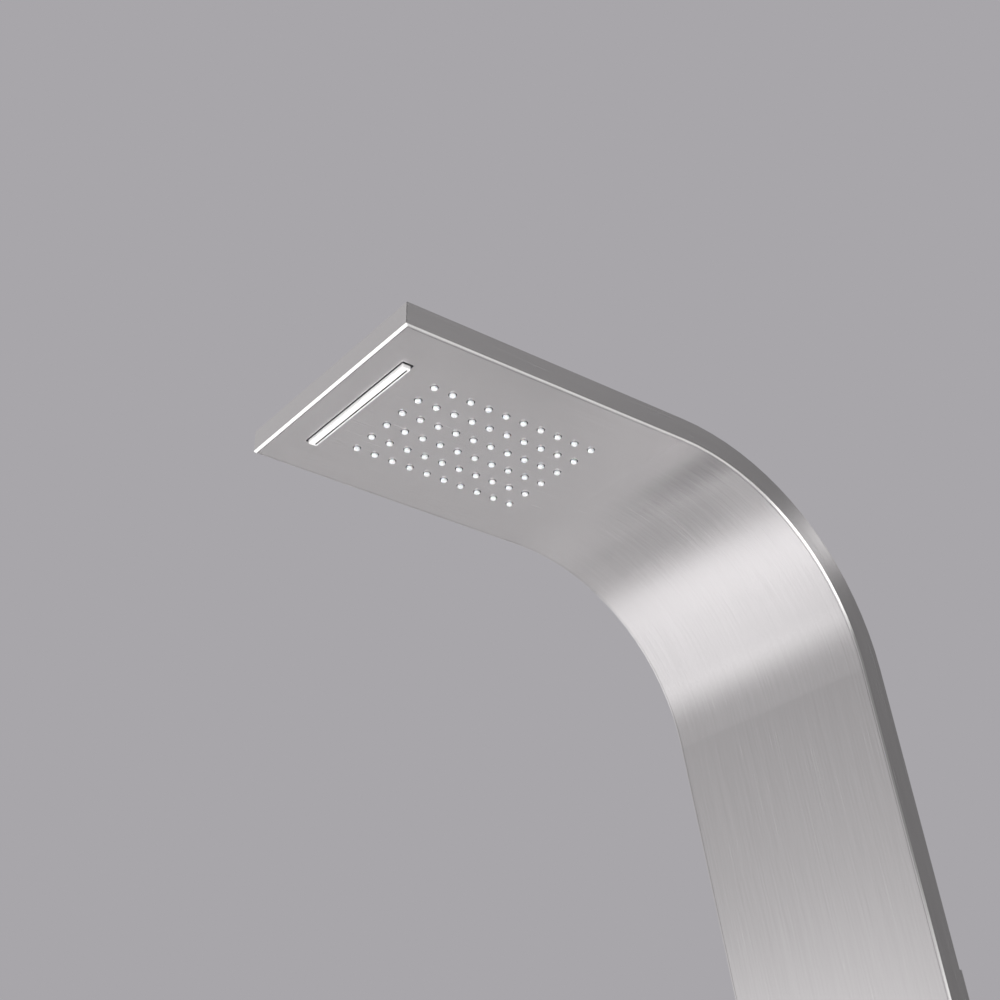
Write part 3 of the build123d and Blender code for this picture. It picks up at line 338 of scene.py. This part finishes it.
# Name, degrees round from the front towards +X, degrees up, distance, size, glow, and the share of
# the size over which each edge fades. A glow below zero is a card that takes light away.
PANELS = (
    ("left_window", -47, -26, 2.2, (1.6, 2.2), 0.70, 0.22),
    ("right_window", 62, -22, 2.2, (1.5, 1.9), 1.1, 0.25),
    ("overhead", -90, 84, 2.4, (3.0, 3.0), 6.5, 0.2),
    ("left_high", -68, 37, 2.2, (1.8, 1.4), 0.11, 0.3),
    ("back_left", -132, 15, 2.2, (0.9, 0.5), 0.35, 0.3),
    ("back_right", 131, 38, 2.2, (2.0, 1.25), 0.13, 0.12),
    ("low_front", -38, -10, 0.95, (0.9, 0.7), 0.22, 0.5),
    ("side_glow", 135, 15, 0.58, (0.09, 0.09), 3.0, 0.5),
    ("key", 22, -32, 1.6, (1.0, 1.0), 9.0, 0.2),
    ("dark_card", -80, -50, 0.86, (0.40, 0.34), -0.42, 0.35),
    ("edge_card", -105, -54, 0.86, (0.26, 0.26), -0.75, 0.3),
    ("corner_card", 38, 45, 2.2, (1.4, 1.4), -0.75, 0.3),
)


def flat_sheet(name, half_x, half_y, height=0.0):
    """A rectangle that faces up, with no material yet."""
    corners = ((-half_x, -half_y), (half_x, -half_y), (half_x, half_y), (-half_x, half_y))
    mesh = bpy.data.meshes.new(name)
    mesh.from_pydata([(x, y, height) for x, y in corners], [], [(0, 1, 2, 3)])
    sheet = bpy.data.objects.new(name, mesh)
    bpy.context.scene.collection.objects.link(sheet)
    return sheet


def make_floor():
    """A wide pale floor."""
    floor = flat_sheet("floor", FLOOR_HALF, FLOOR_HALF, shell_low.z - FLOOR_DROP)
    shader = Shader("pale_floor", roughness=0.9)
    patches = shader.noise(shader.vector(*shader.place()), scale=PATCH_SCALE)
    shader.set(Base_Color=shader.colours(patches, FLOOR_DARK, FLOOR_LIGHT, 0.2, 0.8))
    floor.data.materials.append(shader.material)


def make_world():
    """An even grey backdrop, and a surround for the reflections that is brighter on the left."""
    world = bpy.data.worlds.new("studio")
    world.use_nodes = True
    tree = world.node_tree
    nodes, links = tree.nodes, tree.links
    backdrop = nodes["Background"]
    backdrop.inputs["Color"].default_value = (*BACKDROP, 1)
    surround = nodes.new("ShaderNodeBackground")
    direction = nodes.new("ShaderNodeSeparateXYZ")
    links.new(nodes.new("ShaderNodeTexCoord").outputs["Generated"], direction.inputs[0])
    across = nodes.new("ShaderNodeMapRange")
    links.new(direction.outputs["X"], across.inputs[0])
    for place, value in enumerate((SURROUND_FROM, SURROUND_TO, SURROUND_LEFT, SURROUND_RIGHT), 1):
        across.inputs[place].default_value = value
    links.new(across.outputs[0], surround.inputs["Strength"])
    surround.inputs["Color"].default_value = (*SURROUND_COLOUR, 1)
    seen = nodes.new("ShaderNodeMixShader")
    links.new(nodes.new("ShaderNodeLightPath").outputs["Is Camera Ray"], seen.inputs[0])
    links.new(surround.outputs[0], seen.inputs[1])
    links.new(backdrop.outputs[0], seen.inputs[2])
    links.new(seen.outputs[0], nodes["World Output"].inputs["Surface"])
    bpy.context.scene.world = world


def soft_panel(name, place, aim, size, glow, fade):
    """A panel that faces aim and adds light, or takes light away where its glow is below zero."""
    halves = [side / 2 for side in size]
    panel = flat_sheet(name, *halves)
    panel.location = place
    panel.rotation_euler = (aim - place).to_track_quat("Z", "Y").to_euler()
    panel.visible_camera = panel.visible_shadow = False
    shader = Shader(name)
    x, y, _ = shader.place()
    edges = [
        shader.between(shader.math("ABSOLUTE", part), 1.0, 0.0, half * (1 - 2 * fade), half)
        for part, half in zip((x, y), halves)
    ]
    front = shader.math("SUBTRACT", 1.0, shader.node("ShaderNodeNewGeometry").outputs["Backfacing"])
    inside = shader.math("MULTIPLY", shader.math("MULTIPLY", *edges), front)
    strength = shader.math("MULTIPLY", inside, max(glow, 0.0))
    light = shader.node("ShaderNodeEmission", {"Color": (*PANEL_COLOUR, 1), "Strength": strength})
    shade = shader.between(inside, 1.0, 1.0 + min(glow, 0.0))
    clear = shader.node("ShaderNodeBsdfTransparent", {"Color": shader.vector(shade, shade, shade)})
    both = shader.node("ShaderNodeAddShader", {0: light.outputs[0], 1: clear.outputs[0]})
    shader.tree.links.new(both.outputs[0], shader.tree.nodes["Material Output"].inputs["Surface"])
    panel.data.materials.append(shader.material)


def light_studio():
    """Places the panels by their direction from the middle of the bend."""
    half_turn = BEND_TURN / 2
    bend_middle = Vector((0, BEND_Y, BEND_Z)) + BEND_RADIUS * Vector((0, cos(half_turn), sin(half_turn)))
    for name, turn, rise, distance, size, glow, fade in PANELS:
        turn, rise = radians(turn), radians(rise)
        way = Vector((sin(turn) * cos(rise), -cos(turn) * cos(rise), sin(rise)))
        soft_panel(name, bend_middle + way * distance, bend_middle, size, glow, fade)


make_floor()
make_world()
light_studio()

# ---- camera ---------------------------------------------------------------------------------------
LENS, SENSOR = 60.97, 36.0
CLIP = (0.01, 60.0)  # nearest and farthest distance in view
CAMERA_AIM = (-50.9 * MM, 187.1 * MM, 1.2 * MM)  # middle of the view, in the head frame
CAMERA_DISTANCE = 1296.8 * MM
CAMERA_TURN, CAMERA_RISE = radians(53.47), radians(29.54)  # in the head frame, looking up


def make_camera():
    """A camera below and beside the head, upright in the head frame."""
    level = cos(CAMERA_RISE)
    ahead = Vector((-sin(CAMERA_TURN) * level, cos(CAMERA_TURN) * level, sin(CAMERA_RISE)))
    right = ahead.cross(Vector((0, 0, 1))).normalized()
    up = right.cross(ahead)
    axes = Matrix((right, up, -ahead)).transposed()
    data = bpy.data.cameras.new("camera")
    data.lens, data.sensor_width = LENS, SENSOR
    data.clip_start, data.clip_end = CLIP
    camera = bpy.data.objects.new("camera", data)
    bpy.context.scene.collection.objects.link(camera)
    place = in_head(*CAMERA_AIM) - HEAD @ ahead * CAMERA_DISTANCE
    camera.matrix_world = Matrix.Translation(place) @ (HEAD @ axes).to_4x4()
    bpy.context.scene.camera = camera


make_camera()
bpy.context.scene.view_settings.view_transform = "Standard"
